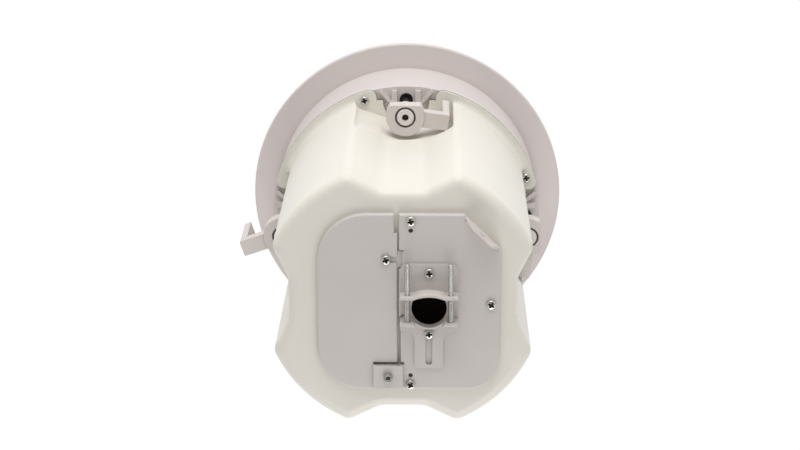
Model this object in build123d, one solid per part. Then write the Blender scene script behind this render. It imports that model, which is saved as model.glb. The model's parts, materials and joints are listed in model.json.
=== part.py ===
from build123d import *
import os
from math import ceil, cos, radians, sin, sqrt

# All sizes are in millimetres. The origin is on the speaker's axis in the ceiling plane, +Z points up
# into the ceiling void, and +Y is the side that carries the top clamp.

# Bezel, sleeve and front deck, moulded as one baffle
bezel_radius = 125.0
bezel_edge = 3.0
bezel_edge_round = 1.0
bezel_crown = 8.0
bezel_rim_width = 4.0
sleeve_radius = 105.0
sleeve_wall = 3.0
sleeve_height = 63.0
grille_seat_radius = 110.0
grille_step = 2.0
deck_front = 3.0
deck_thickness = 4.0

# Back can with a flute at each clamp
can_depth = 270.0
can_wall = 2.0
can_radius = 99.5
can_end_round = 8.0
lip_overhang = 1.5
lip_thickness = 2.5
lip_flare = 5.0
lip_corner = 6.0
gasket_thickness = 1.5
flute_floor = 80.5
flute_floor_half = 15.5
flute_mouth_half = 38.5
flute_crest_round = 9.0
flute_root_round = 14.0
pocket_clearance = 3.5
pocket_headroom = 13.0
pocket_round = 7.0
notch_half = 23.0
can_screw_turn = 19.0
can_screw_circle = 100.0
slot_mark_width = 3.0
slot_mark_length = 9.0
slot_mark_depth = 0.8
slot_mark_offset = 14.5
slot_mark_drop = 16.0

# Swing clamps
clamp_circle = 94.5
clamp_swing = 117.0
hub_radius = 14.5
hub_flat = 9.0
hub_top = 120.0
hub_height = 13.0
hub_recess_depth = 6.0
hub_recess_gap = 1.5
arm_reach = 33.0
arm_width = 12.0
arm_height = 10.0
arm_step = 1.0
arm_tuck = 8.0
foot_thickness = 5.4
foot_end = 72.0
foot_web = 14.0
foot_web_thickness = 3.0
bush_radius = 6.4
bush_flange = 2.6
bush_flange_thickness = 2.0
bush_stand = 0.6
clamp_screw_radius = 2.5
clamp_screw_head = 5.2
clamp_screw_drop = 3.0
clip_radius = 5.2
clip_thickness = 1.0
column_radius = 6.8
shelf_thickness = 3.0
shelf_half = 39.0
shelf_inner = 68.0
rib_height = 3.0
rib_width = 4.5
rib_offset = 9.2
rib_inner = 87.0
brace_width = 3.0
brace_spread = 20.0

# Fasteners and fits
running_clearance = 0.05
hole_clearance = 0.3
seat_clearance = 0.1
screw_radius = 2.0
screw_head_radius = 3.5
screw_head_height = 2.4
screw_head_round = 1.0
screw_recess_span = 4.2
screw_recess_width = 0.9
screw_recess_depth = 1.3
screw_bite = 6.0
can_screw_bite = 10.0
boss_wall = 2.6

# Covers on the end of the can
sheet = 1.2
cover_height = 4.0
cover_bend = 1.6
cover_left = -59.8
cover_right = 68.2
cover_bottom = -64.4
cover_top = 64.9
seam_x = -3.1
seam_gap = 0.6
cover_round_top = 35.0
cover_round_bottom = 32.0
plate_round_bottom = 22.0
plate_cut_x = 25.4
plate_cut_y = 25.2
corner_notch = 2.4
corner_notch_drop = 14.0
tongue_root = 3.6
tongue_tip = 5.0
tongue_low = 26.0
tongue_high = 38.0
tongue_slit = 0.8
slit_low = -45.6
slit_high = -9.2
slit_width = 1.6
slit_round = 3.0
bridge_half = 10.5
bridge_slot = 1.8
bridge_x = -10.1
bridge_height = 17.0
bridge_rise = 2.6
nut_radius = 3.4
nut_height = 2.4
nut_hole_radius = 1.6
cover_screw_x = -11.6
cover_screw_y = 31.9
plate_screw_x = 5.7
plate_screw_top = 60.0
plate_screw_bottom = -60.7
plate_screw_side_x = 62.0
plate_screw_side_y = -0.7
pilot_radius = 1.6
pilot_step = 6.8
eye_height = 17.0
eye_width = 34.0
eye_top_width = 14.0
eye_hole_radius = 3.2
eye_hole_height = 9.0
eye_corner = 5.0
eye_bend = 3.0

# Cable entry and its clamp
entry_x = 18.6
entry_y = -3.5
entry_radius = 12.4
jaw_sheet = 1.5
jaw_height = 15.0
jaw_half = 20.3
jaw_gap_above = 11.5
jaw_gap_below = 7.9
jaw_arch_half = 11.0
upper_arch_rise = 2.2
lower_arch_rise = 5.6
saddle_half = 10.0
saddle_height = 5.0
saddle_round = 4.0
jaw_travel = 16.0
jaw_slot_spare = 5.0
jaw_glide = 0.1
upper_jaw_reach = 21.3
upper_jaw_corner = 5.0
upper_screw_inset = 6.6
shoulder_depth = 8.3
shoulder_round = 8.0
tongue_half = 10.2
tongue_length = 36.4
tongue_corner = 3.0
jaw_slot_inset = 10.6
rod_spacing = 15.1
rod_lift = 8.0
rod_reach = 23.5

# Wiring compartment under the covers
window_y = -3.4
window_left = -49.3
window_split_left = -20.7
window_split_right = 2.0
window_right = 43.3
window_half = 40.0
window_round = 8.0
entry_window_half = 29.0
box_wall = 1.5
box_margin = 5.0
box_depth = 38.0
block_length = 46.0
block_width = 16.0
block_height = 13.0
block_ways = 4
block_well_offset = 3.2
block_well_radius = 3.2
block_well_depth = 6.0

# Loudspeaker
woofer_radius = 82.0
woofer_flange = 3.0
basket_radius = 72.0
basket_wall = 1.6
basket_depth = 50.0
basket_rear_radius = 44.0
basket_straight = 7.0
basket_windows = 6
basket_window_half = 13.0
landing_width = 3.0
landing_depth = 4.0
landing_thickness = 1.5
spider_landing_depth = 4.0
spider_thickness = 1.0
spider_waves = 3
spider_wave_height = 1.4
pole_radius = 12.0
coil_gap = 0.4
coil_wall = 0.8
coil_length = 22.0
coil_overhang = 12.0
top_plate_thickness = 5.0
top_plate_radius = 42.0
magnet_radius = 45.0
magnet_hole_radius = 22.0
magnet_thickness = 18.0
yoke_thickness = 6.0
cone_thickness = 1.0
cone_rim_radius = 61.0
cone_neck = 3.0
surround_roll = 3.9
surround_thickness = 0.8
tweeter_radius = 17.0
tweeter_depth = 14.0
tweeter_post_radius = 6.0
dome_radius = 12.5
dome_rise = 4.5
dome_seat = 6.0
woofer_screw_circle = 77.8

# Tap selector beside the loudspeaker
selector_turn = -22.5
selector_circle = 91.5
selector_body = 17.0
selector_body_height = 18.0
knob_radius = 8.0
knob_height = 6.5
knob_lift = 0.3
knob_slot_width = 1.6
knob_slot_depth = 2.2
knob_slot_half = 5.6
spindle_radius = 3.0
spindle_length = 6.0

# Line transformer and crossover under the wiring compartment
core_length = 44.0
core_width = 36.0
core_stack = 18.0
core_leg = 7.0
core_y = 24.0
winding_gap = 0.3
foot_sheet = 1.5
foot_tab = 9.0
board_length = 64.0
board_width = 40.0
board_thickness = 1.6
board_y = -26.0
standoff_height = 4.0
standoff_radius = 2.6
standoff_inset = 5.0
choke_radius = 11.0
choke_hole_radius = 4.5
choke_height = 10.0
choke_offset = 17.0
capacitor_radius = 6.5
capacitor_length = 26.0
capacitor_offset = 14.0

# Damping pad across the can
pad_low = 148.0
pad_height = 34.0
pad_gap = 0.3

# Grille perforation
grille_sheet = 1.0
grille_recess = 0.6
perforation_pitch = 14.0
perforation_radius = 5.6
perforation_margin = 8.0

# Turn of each clamp about the speaker's axis, counted from the top, and the swing it rests at
clamp_turns = {"top": 0.0, "left": 90.0, "bottom": 180.0, "right": 270.0}
resting_swing = {"top": 0.0, "left": clamp_swing, "bottom": 0.0, "right": 0.0}

# Levels and radii that follow from the sizes above
sleeve_inner = sleeve_radius - sleeve_wall
deck_back = deck_front + deck_thickness
lip_radius = sleeve_radius + lip_overhang
can_foot = sleeve_height + gasket_thickness
lip_top = can_foot + lip_thickness
end_inside = can_depth - can_wall
cover_face = can_depth + cover_height
hub_bottom = hub_top - hub_height
arm_top = hub_top - arm_step
arm_bottom = arm_top - arm_height
bush_flange_radius = bush_radius + bush_flange
basket_back = deck_front - woofer_flange + basket_depth
coil_inner = pole_radius + coil_gap
coil_outer = coil_inner + coil_wall
plate_hole = coil_outer + coil_gap
top_plate_back = basket_back + top_plate_thickness
magnet_back = top_plate_back + magnet_thickness
yoke_back = magnet_back + yoke_thickness
box_floor = end_inside - box_depth
MIN = (Align.CENTER, Align.CENTER, Align.MIN)


def slab(x_low, x_high, y_low, y_high, z_low, z_high):
    """A box between stated limits."""
    size = (x_high - x_low, y_high - y_low, z_high - z_low)
    return Pos(x_low, y_low, z_low) * Box(*size, align=(Align.MIN, Align.MIN, Align.MIN))


def post(radius, low, high, x=0.0, y=0.0):
    """An upright cylinder between two levels."""
    return Pos(x, y, low) * Cylinder(radius, high - low, align=MIN)


def turned(points):
    """A solid of revolution about the speaker's axis from (radius, level) points."""
    return revolve(Plane.XZ * make_face(Polyline(*points, close=True)), Axis.Z)


def plate(sketch, low, high):
    """A flat sketch raised between two levels."""
    return Pos(0, 0, low) * extrude(sketch, high - low)


def pan_screw(shank_radius, length, head_radius=screw_head_radius):
    """A pan-head screw with a cross recess, its seat at the origin and its head above."""
    head = Cylinder(head_radius, screw_head_height, align=MIN)
    head = fillet(head.edges().group_by(Axis.Z)[-1], screw_head_round)
    screw = head + post(shank_radius, -length, 0)
    for turn in (0, 90):
        bar = Box(screw_recess_span, screw_recess_width, screw_recess_depth, align=MIN)
        screw -= Pos(0, 0, screw_head_height - screw_recess_depth) * Rot(0, 0, turn) * bar
    return screw


def at_clamps(shape):
    """Copies of a shape that is drawn at the top clamp, one for each clamp."""
    return [Rot(0, 0, turn) * shape for turn in clamp_turns.values()]


def screw_spot():
    """The can screw beside the top clamp, as x and y."""
    angle = radians(90 + can_screw_turn)
    return can_screw_circle * cos(angle), can_screw_circle * sin(angle)


def baffle():
    """Bezel, ceiling sleeve, front deck, clamp shelves and screw columns in one moulding."""
    rim_outer = grille_seat_radius + bezel_rim_width
    body = turned([
        (sleeve_radius, sleeve_height),
        (sleeve_radius, 0),
        (bezel_radius - bezel_edge_round, 0),
        (bezel_radius, -bezel_edge_round),
        (bezel_radius, -bezel_edge),
        (rim_outer, -bezel_crown),
        (grille_seat_radius, -bezel_crown),
        (grille_seat_radius, -grille_step),
        (sleeve_inner, -grille_step),
        (sleeve_inner, deck_front),
        (basket_radius + hole_clearance, deck_front),
        (basket_radius + hole_clearance, deck_back),
        (sleeve_inner, deck_back),
        (sleeve_inner, sleeve_height),
    ])
    inside = post(sleeve_radius, deck_back, sleeve_height + rib_height)
    shelf_low = sleeve_height - shelf_thickness
    spot_x, spot_y = screw_spot()
    shelf = slab(-shelf_half, shelf_half, shelf_inner, sleeve_radius, shelf_low, sleeve_height)
    shelf += post(column_radius, deck_back, shelf_low, 0, clamp_circle)
    shelf += post(screw_radius + boss_wall, sleeve_height - can_screw_bite, sleeve_height, spot_x, spot_y)
    shelf += clamp_ribs()
    for piece in at_clamps(shelf & inside):
        body += piece
    bore = post(clamp_screw_radius + hole_clearance, deck_front, sleeve_height, 0, clamp_circle)
    bore += post(screw_radius, sleeve_height - can_screw_bite, sleeve_height, spot_x, spot_y)
    for piece in at_clamps(bore):
        body -= piece
    for spot in GridLocations(woofer_screw_circle * sqrt(2), woofer_screw_circle * sqrt(2), 2, 2):
        body -= spot * post(screw_radius, deck_front, deck_back)
    body -= selector_place() * post(spindle_radius + hole_clearance, deck_front, deck_back)
    return body


def clamp_ribs():
    """Two radial ribs beside the clamp screw and a slanting brace outside each."""
    top = sleeve_height + rib_height
    ribs = None
    for side in (-1, 1):
        x = side * rib_offset
        rib = slab(x - rib_width / 2, x + rib_width / 2, rib_inner, sleeve_inner, sleeve_height, top)
        line = Line((x, rib_inner + brace_width), (side * brace_spread, sleeve_inner))
        rib += plate(trace(line, brace_width), sleeve_height, top)
        ribs = rib if ribs is None else ribs + rib
    return ribs


def can_section():
    """The can's outline: a circle with a flat-floored flute at each clamp."""
    crest = sqrt(can_radius**2 - flute_mouth_half**2)
    slope = (crest - flute_floor) / (flute_mouth_half - flute_floor_half)
    open_y = can_radius + flute_floor_half
    open_half = flute_floor_half + (open_y - flute_floor) / slope
    flute = make_face(Polyline(
        (-open_half, open_y),
        (-flute_floor_half, flute_floor),
        (flute_floor_half, flute_floor),
        (open_half, open_y),
        close=True,
    ))
    outline = Circle(can_radius)
    for piece in at_clamps(flute):
        outline -= piece
    middle = (can_radius + flute_floor) / 2
    roots = [v for v in outline.vertices() if Vector(v.X, v.Y).length < middle]
    outline = fillet(roots, flute_root_round)
    edge = can_radius - running_clearance
    crests = [v for v in outline.vertices() if Vector(v.X, v.Y).length > edge]
    return fillet(crests, flute_crest_round)


def flared(can):
    """The can with its lip added and a hollow flare where its wall runs out onto the lip."""
    can += post(lip_radius, can_foot, lip_top)
    level = can.edges().filter_by(lambda edge: abs(edge.center().Z - lip_top) < running_clearance)
    rim = lip_radius - running_clearance
    roots = [edge for edge in level if Vector(edge.start_point().X, edge.start_point().Y).length < rim]
    return fillet(roots, lip_flare)


def can_pocket(grow):
    """The scoop that clears the top clamp's hub, its tucked arm and the can screw beside it."""
    spot_x, spot_y = screw_spot()
    tip = arm_reach - arm_width / 2
    angle = radians(arm_tuck)
    tip_x = tip * cos(angle)
    tip_y = clamp_circle - tip * sin(angle)
    rounds = [
        Pos(0, clamp_circle) * Circle(hub_radius + pocket_clearance + grow),
        Pos(tip_x, tip_y) * Circle(arm_width / 2 + pocket_clearance + grow),
        Pos(spot_x, spot_y) * Circle(screw_head_radius + pocket_clearance + grow),
    ]
    hull = make_hull([edge for circle in rounds for edge in circle.edges()])
    top = hub_top + pocket_headroom + grow
    scoop = plate(hull, lip_top - grow, top)
    return fillet(scoop.edges().group_by(Axis.Z)[-1], pocket_round + grow)


def clamp_notch(grow):
    """The gap in the can's lip that the clamp screw passes through."""
    low = clamp_circle - hub_radius - pocket_clearance
    gap = Pos(0, clamp_circle) * Circle(clamp_circle - low + grow)
    width = 2 * (notch_half + grow)
    gap += Pos(0, clamp_circle - grow) * Rectangle(width, 2 * sleeve_radius, align=(Align.CENTER, Align.MIN))
    return plate(gap, can_foot, lip_top + grow)


def lip_rounded(can):
    """The can with its lip's corners rounded beside each clamp."""
    rim = lip_radius - running_clearance
    upright = can.edges().filter_by(Axis.Z)
    corners = [edge for edge in upright if Vector(edge.center().X, edge.center().Y).length > rim]
    return fillet(corners, lip_corner)


def back_can():
    """The fluted can with its lip, clamp scoops and the windows of the wiring compartment."""
    section = can_section()
    outer = plate(section, can_foot, can_depth)
    outer = flared(fillet(outer.edges().group_by(Axis.Z)[-1], can_end_round))
    inner = plate(offset(section, -can_wall), can_foot, end_inside)
    inner = fillet(inner.edges().group_by(Axis.Z)[-1], can_end_round - can_wall)
    for piece in at_clamps(can_pocket(0.0) + clamp_notch(0.0)):
        outer -= piece
    outer = lip_rounded(outer)
    for piece in at_clamps(can_pocket(can_wall) + clamp_notch(can_wall)):
        inner -= piece
    can = outer - inner
    for piece in can_holes():
        can -= piece
    return can


def can_holes():
    """Screw holes, wiring windows and the shallow strap slots in the side flutes."""
    spot_x, spot_y = screw_spot()
    screw_hole = screw_radius + hole_clearance
    holes = at_clamps(post(screw_hole, can_foot, lip_top, spot_x, spot_y))
    for x, y in plate_screw_spots() + [(cover_screw_x, cover_screw_y)]:
        holes.append(post(screw_hole, end_inside, can_depth, x, y))
    windows = window(window_left, window_split_left, window_half)
    windows += window(window_split_right, window_right, entry_window_half)
    holes.append(plate(windows, end_inside, can_depth))
    mark_top = can_depth - slot_mark_drop
    for side in (-1, 1):
        for row in (-1, 1):
            y = row * slot_mark_offset
            mark = Box(2 * slot_mark_depth, slot_mark_length, slot_mark_width)
            holes.append(Pos(side * flute_floor, y, mark_top) * mark)
    return holes


def window(left, right, half):
    """A rounded rectangular window in the can's end."""
    shape = RectangleRounded(right - left, 2 * half, window_round)
    return Pos((left + right) / 2, window_y) * shape


def can_gasket(can):
    """A flat gasket of the can's own footprint."""
    foot = can.faces().sort_by(Axis.Z)[0]
    return extrude(foot, gasket_thickness, dir=(0, 0, -1))


def can_screws():
    """The four screws that hold the can's lip to the sleeve."""
    spot_x, spot_y = screw_spot()
    length = lip_thickness + gasket_thickness + can_screw_bite - screw_head_height
    screw = Pos(spot_x, spot_y, lip_top) * pan_screw(screw_radius - seat_clearance, length)
    return Compound(children=at_clamps(screw))


def clamp_place(name):
    """Moves a piece from the clamp screw's own axis to its place on the baffle."""
    return Rot(0, 0, clamp_turns[name]) * Pos(0, clamp_circle, 0)


def clamp_arm():
    """A swing arm drawn tucked, about its own hub: hub with a flat, arm, foot and web."""
    hub = post(hub_radius, hub_bottom, hub_top)
    hub -= slab(-2 * hub_radius, 2 * hub_radius, hub_flat, 2 * hub_radius, hub_bottom, hub_top)
    hub = fillet(hub.edges().filter_by(Axis.Z), arm_step)
    half = arm_width / 2
    inner = arm_reach - foot_thickness
    arm = slab(0, arm_reach, -half, half, arm_bottom, arm_top)
    arm += slab(inner, arm_reach, -half, half, foot_end, arm_bottom)
    web = make_face(Polyline(
        (inner, arm_bottom), (inner - foot_web, arm_bottom), (inner, arm_bottom - foot_web), close=True
    ))
    arm += Pos(0, foot_web_thickness / 2, 0) * extrude(Plane.XZ * web, foot_web_thickness)
    arm = fillet(arm.edges().filter_by(Axis.Z).group_by(Axis.X)[-1], arm_step)
    arm = hub + Rot(0, 0, -arm_tuck) * arm
    arm -= post(bush_radius + running_clearance, hub_bottom, hub_top)
    arm -= post(bush_radius + hub_recess_gap, hub_top - hub_recess_depth, hub_top)
    return arm


def clamp_bush():
    """The threaded bush that runs on the clamp screw and carries the arm on its flange."""
    bore = clamp_screw_radius + running_clearance
    top = hub_top + bush_stand
    return turned([
        (bore, hub_bottom - bush_flange_thickness),
        (bush_flange_radius, hub_bottom - bush_flange_thickness),
        (bush_flange_radius, hub_bottom),
        (bush_radius, hub_bottom),
        (bush_radius, top - bush_stand),
        (bush_radius - bush_stand, top),
        (bore, top),
    ])


def clamp_screw():
    """The long clamp screw, driven from the room side and ending inside the bush."""
    length = hub_top - clamp_screw_drop - deck_front
    screw = pan_screw(clamp_screw_radius, length, clamp_screw_head)
    return Pos(0, 0, deck_front) * Rot(180, 0, 0) * screw


def clamp_clip():
    """The push-on clip that keeps the clamp screw from falling forward."""
    return post(clip_radius, sleeve_height, sleeve_height + clip_thickness) - post(
        clamp_screw_radius, sleeve_height, sleeve_height + clip_thickness
    )


def plate_screw_spots():
    """The three screws of the entry plate, as x and y."""
    return [
        (plate_screw_x, plate_screw_top),
        (plate_screw_side_x, plate_screw_side_y),
        (plate_screw_x, plate_screw_bottom),
    ]


def tray(outline):
    """A shallow folded cover over an outline, open below."""
    shell = plate(outline, can_depth, cover_face)
    shell = fillet(shell.edges().group_by(Axis.Z)[-1], cover_bend)
    return shell - plate(offset(outline, -sheet), can_depth, cover_face - sheet)


def corner_rounded(outline, x_side, y_side, radius):
    """An outline with the corner nearest to one side of the axes rounded."""
    corner = max(outline.vertices(), key=lambda v: x_side * v.X + y_side * v.Y)
    return fillet([corner], radius)


def cover_outline():
    """The wiring cover's outline, on the left of the seam."""
    right = seam_x - seam_gap / 2
    width = right - cover_left
    height = cover_top - cover_bottom
    outline = Pos(cover_left, cover_bottom) * Rectangle(width, height, align=(Align.MIN, Align.MIN))
    outline = corner_rounded(outline, -1, 1, cover_round_top)
    outline = corner_rounded(outline, -1, -1, cover_round_bottom)
    corner = Rectangle(2 * corner_notch, 2 * corner_notch_drop)
    return outline - Pos(right, cover_top) * corner


def plate_outline():
    """The entry plate's outline, with its cut corner at the top right."""
    left = seam_x + seam_gap / 2
    outline = make_face(Polyline(
        (left, cover_bottom),
        (cover_right, cover_bottom),
        (cover_right, cover_top - plate_cut_y),
        (cover_right - plate_cut_x, cover_top),
        (left, cover_top),
        close=True,
    ))
    return corner_rounded(outline, 1, -1, plate_round_bottom)


def terminal_cover():
    """The wiring cover with its open screw slot and the lanced bridge that laps the entry plate."""
    right = seam_x - seam_gap / 2
    cover = tray(cover_outline())
    base = cover_face - sheet
    low = cover_bottom + cover_bend
    high = low + bridge_height
    left = bridge_x - bridge_half
    roof = cover_face + bridge_rise
    cover += slab(left, bridge_x + bridge_half, low, high, roof - sheet, roof)
    cover += slab(left, left + sheet, low, high, base, roof)
    cover -= slab(left, right, high, high + bridge_slot, can_depth, cover_face)
    cover -= post(nut_hole_radius, cover_face, roof, bridge_x, (low + high) / 2)
    gap = screw_radius + hole_clearance
    cover -= post(gap, can_depth, cover_face, cover_screw_x, cover_screw_y)
    cover -= slab(cover_screw_x, right, cover_screw_y - gap, cover_screw_y + gap, can_depth, cover_face)
    notch_low = tongue_low - tongue_slit
    notch_high = tongue_high + tongue_slit
    cover -= slab(right - cover_bend, right, notch_low, notch_high, can_depth, base)
    return cover


def seam_tongue():
    """The entry plate's tongue, stepped down to pass under the wiring cover to its screw."""
    root = seam_x + seam_gap / 2 + tongue_root
    top = cover_face - sheet - seat_clearance
    tongue = slab(cover_screw_x - tongue_tip, root, tongue_low, tongue_high, top - sheet, top)
    tongue += slab(root - sheet, root + sheet, tongue_low, tongue_high, top - sheet, cover_face)
    return tongue - post(screw_radius + hole_clearance, top - sheet, top, cover_screw_x, cover_screw_y)


def seam_slit():
    """The slit along the seam below the jaws, curving away at its upper end."""
    x = seam_x + (seam_gap + slit_width) / 2
    turn = slit_high - slit_round
    path = [
        Line((x, slit_low), (x, turn)),
        RadiusArc((x, turn), (x + slit_round, slit_high), slit_round),
    ]
    return plate(trace(path, slit_width), can_depth, cover_face)


def bridge_nut():
    """The captive nut on the bridge."""
    y = cover_bottom + cover_bend + bridge_height / 2
    base = cover_face + bridge_rise
    return post(nut_radius, base, base + nut_height, bridge_x, y) - post(
        nut_hole_radius, base, base + nut_height, bridge_x, y
    )


def terminal_plate():
    """The entry plate with the cable hole, seam tongue and slits, pilot holes and safety eye."""
    left = seam_x + seam_gap / 2
    panel = tray(plate_outline())
    notch_low = tongue_low - tongue_slit
    notch_high = tongue_high + tongue_slit
    panel -= slab(left, left + tongue_root, notch_low, notch_high, can_depth, cover_face)
    panel += seam_tongue()
    panel -= seam_slit()
    slot_low = cover_bottom + cover_bend + bridge_height
    slot_end = bridge_x + bridge_half + tongue_slit
    panel -= slab(left, slot_end, slot_low, slot_low + bridge_slot, can_depth, cover_face)
    panel -= post(entry_radius, can_depth, cover_face, entry_x, entry_y)
    for x, y in plate_screw_spots() + [(entry_x, upper_screw_y()), (entry_x, lower_screw_y())]:
        panel -= post(screw_radius + hole_clearance, can_depth, cover_face, x, y)
    for y in (plate_screw_top - pilot_step, plate_screw_bottom + pilot_step):
        panel -= post(pilot_radius, can_depth, cover_face, plate_screw_x, y)
    return panel + safety_eye()


def eye_frame():
    """The frame of the bent-up eye: on the cut corner, facing outward."""
    cut = Vector(plate_cut_x, -plate_cut_y).normalized()
    middle = Vector(cover_right - plate_cut_x / 2, cover_top - plate_cut_y / 2, cover_face - sheet)
    outward = Vector(-cut.Y, cut.X)
    return Plane(origin=middle, x_dir=(-cut.X, -cut.Y, 0), z_dir=(outward.X, outward.Y, 0))


def safety_eye():
    """A tapered tab folded up along the cut corner, with a round hole for a safety line."""
    foot = eye_width / 2
    top = eye_top_width / 2
    tab = make_face(Polyline((-foot, 0), (foot, 0), (top, eye_height), (-top, eye_height), close=True))
    tab = fillet(tab.vertices().group_by(Axis.Y)[-1], eye_corner)
    tab -= Pos(0, eye_hole_height) * Circle(eye_hole_radius)
    reach = sheet + eye_bend
    bend = Pos(-sheet, sheet) * Rectangle(eye_bend, eye_bend, align=(Align.MAX, Align.MIN))
    bend -= Pos(-reach, reach) * Circle(eye_bend)
    across = eye_frame()
    side = Plane(origin=across.origin, x_dir=across.z_dir, z_dir=-across.x_dir)
    return extrude(across * tab, -sheet) + extrude(side * bend, eye_top_width, both=True)


def upper_screw_y():
    """Where the fixed jaw is screwed down."""
    return upper_jaw_y() + upper_jaw_reach - upper_screw_inset


def lower_screw_y():
    """Where the sliding jaw's guide screw stands, at the near end of its slot."""
    return lower_jaw_y() - jaw_slot_inset


def upper_jaw_y():
    """The fixed jaw's wall."""
    return entry_y + jaw_gap_above


def lower_jaw_y():
    """The sliding jaw's wall at rest, fully open."""
    return entry_y - jaw_gap_below


def jaw_wall(y, rise):
    """A bent-up jaw with an arched saddle, standing on the entry plate."""
    path = [
        Line((entry_x - jaw_half, y), (entry_x - jaw_arch_half, y)),
        ThreePointArc(
            (entry_x - jaw_arch_half, y),
            (entry_x, y + rise),
            (entry_x + jaw_arch_half, y),
        ),
        Line((entry_x + jaw_arch_half, y), (entry_x + jaw_half, y)),
    ]
    return trace(path, jaw_sheet)


def saddle_bite(y, rise):
    """The round that a jaw's base leaves open inside its arched saddle."""
    radius = (jaw_arch_half**2 + rise**2) / (2 * rise)
    return Pos(entry_x, y + rise - radius) * Circle(abs(radius))


def saddle_cut(y):
    """The part of the sliding jaw's wall that is cut down so that its screw can be reached."""
    low = cover_face + saddle_height
    tall = 2 * (jaw_height - saddle_height)
    shape = Pos(entry_x, low + tall / 2) * RectangleRounded(2 * saddle_half, tall, saddle_round)
    return Pos(0, y, 0) * extrude(Plane.XZ * shape, 2 * lower_arch_rise, both=True)


def rod_holes(wall, y, radius):
    """A jaw wall drilled for the two clamp rods."""
    for side in (-1, 1):
        place = Pos(entry_x + side * rod_spacing, y, cover_face + rod_lift) * Rot(90, 0, 0)
        wall -= place * Cylinder(radius, 4 * jaw_sheet)
    return wall


def upper_jaw():
    """The fixed jaw: a base with rounded corners and a bent-up saddle with two threaded holes."""
    y = upper_jaw_y()
    base = Pos(entry_x, y) * Rectangle(2 * jaw_half, upper_jaw_reach, align=(Align.CENTER, Align.MIN))
    base = fillet(base.vertices().group_by(Axis.Y)[-1], upper_jaw_corner)
    base -= saddle_bite(y, upper_arch_rise)
    jaw = plate(base, cover_face, cover_face + jaw_sheet)
    jaw -= post(screw_radius + hole_clearance, cover_face, cover_face + jaw_sheet, entry_x, upper_screw_y())
    wall = plate(jaw_wall(y, upper_arch_rise), cover_face, cover_face + jaw_height)
    return jaw + rod_holes(wall, y, screw_radius + running_clearance)


def lower_jaw():
    """The sliding jaw: a bent-up saddle on a shouldered tongue with a guide slot."""
    y = lower_jaw_y()
    low = cover_face + jaw_glide
    shoulder = y - shoulder_depth
    base = make_face(Polyline(
        (entry_x - jaw_half, y),
        (entry_x - jaw_half, shoulder),
        (entry_x - tongue_half, shoulder),
        (entry_x - tongue_half, y - tongue_length),
        (entry_x + tongue_half, y - tongue_length),
        (entry_x + tongue_half, shoulder),
        (entry_x + jaw_half, shoulder),
        (entry_x + jaw_half, y),
        close=True,
    ))
    base = fillet(base.vertices().group_by(Axis.Y)[0], tongue_corner)
    necks = [v for v in base.vertices().group_by(Axis.Y)[-2] if abs(v.X - entry_x) < jaw_half - jaw_glide]
    base = fillet(necks, shoulder_round)
    slot_end = lower_screw_y() - jaw_travel - jaw_slot_spare
    middle = (lower_screw_y() + slot_end) / 2
    slot_width = 2 * (screw_radius + hole_clearance)
    slot = SlotCenterToCenter(lower_screw_y() - slot_end, slot_width, rotation=90)
    base -= Pos(entry_x, middle) * slot
    base -= saddle_bite(y, -lower_arch_rise)
    jaw = plate(base, low, low + jaw_sheet)
    wall = plate(jaw_wall(y, -lower_arch_rise), low, cover_face + jaw_height) - saddle_cut(y)
    return jaw + rod_holes(wall, y, screw_radius + hole_clearance)


def jaw_rod(side):
    """A clamp rod: headed below the sliding jaw and threaded through the fixed one."""
    seat = lower_jaw_y() - jaw_sheet / 2
    length = upper_jaw_y() + rod_reach - seat
    place = Pos(entry_x + side * rod_spacing, seat, cover_face + rod_lift) * Rot(90, 0, 0)
    return place * pan_screw(screw_radius, length)


def upper_jaw_screw():
    """The screw that holds the fixed jaw."""
    return Pos(entry_x, upper_screw_y(), cover_face + jaw_sheet) * pan_screw(screw_radius, screw_bite)


def lower_jaw_screw():
    """The guide screw that the sliding jaw's slot runs along."""
    seat = cover_face + 2 * jaw_glide + jaw_sheet
    return Pos(entry_x, lower_screw_y(), seat) * pan_screw(screw_radius, screw_bite)


def plate_screws():
    """The three screws of the entry plate."""
    return Compound(children=[
        Pos(x, y, cover_face) * pan_screw(screw_radius, cover_height + can_wall + screw_bite / 2)
        for x, y in plate_screw_spots()
    ])


def cover_screw():
    """The wiring cover's screw."""
    length = cover_height + can_wall + screw_bite / 2
    return Pos(cover_screw_x, cover_screw_y, cover_face) * pan_screw(screw_radius, length)


def box_outline():
    """The wiring box's outline, round both windows."""
    width = window_right - window_left + 2 * box_margin
    height = 2 * (window_half + box_margin)
    shape = RectangleRounded(width, height, window_round)
    return Pos((window_left + window_right) / 2, window_y) * shape


def terminal_box():
    """The wiring box that closes the can behind its windows."""
    shell = plate(box_outline(), box_floor, end_inside)
    shell -= plate(offset(box_outline(), -box_wall), box_floor + box_wall, end_inside)
    for x, y in plate_screw_spots() + [(cover_screw_x, cover_screw_y)]:
        shell -= post(screw_radius + hole_clearance, end_inside - screw_bite, end_inside, x, y)
    return shell


def terminal_block():
    """The screw terminal block on the floor of the wiring box."""
    base = box_floor + box_wall
    x = (window_left + window_split_left) / 2
    y = window_y
    block = Pos(x, y, base) * Box(block_width, block_length, block_height, align=MIN)
    block = fillet(block.edges().group_by(Axis.Z)[-1], screw_recess_width)
    pitch = block_length / block_ways
    for way in range(block_ways):
        well_y = y + (way - (block_ways - 1) / 2) * pitch
        top = base + block_height
        block -= post(block_well_radius, top - block_well_depth, top, x - block_well_offset, well_y)
        mouth = slab(
            x + block_well_offset, x + block_width, well_y - block_well_radius, well_y + block_well_radius,
            top - block_well_depth, top - screw_recess_depth,
        )
        block -= mouth
    return block


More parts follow.
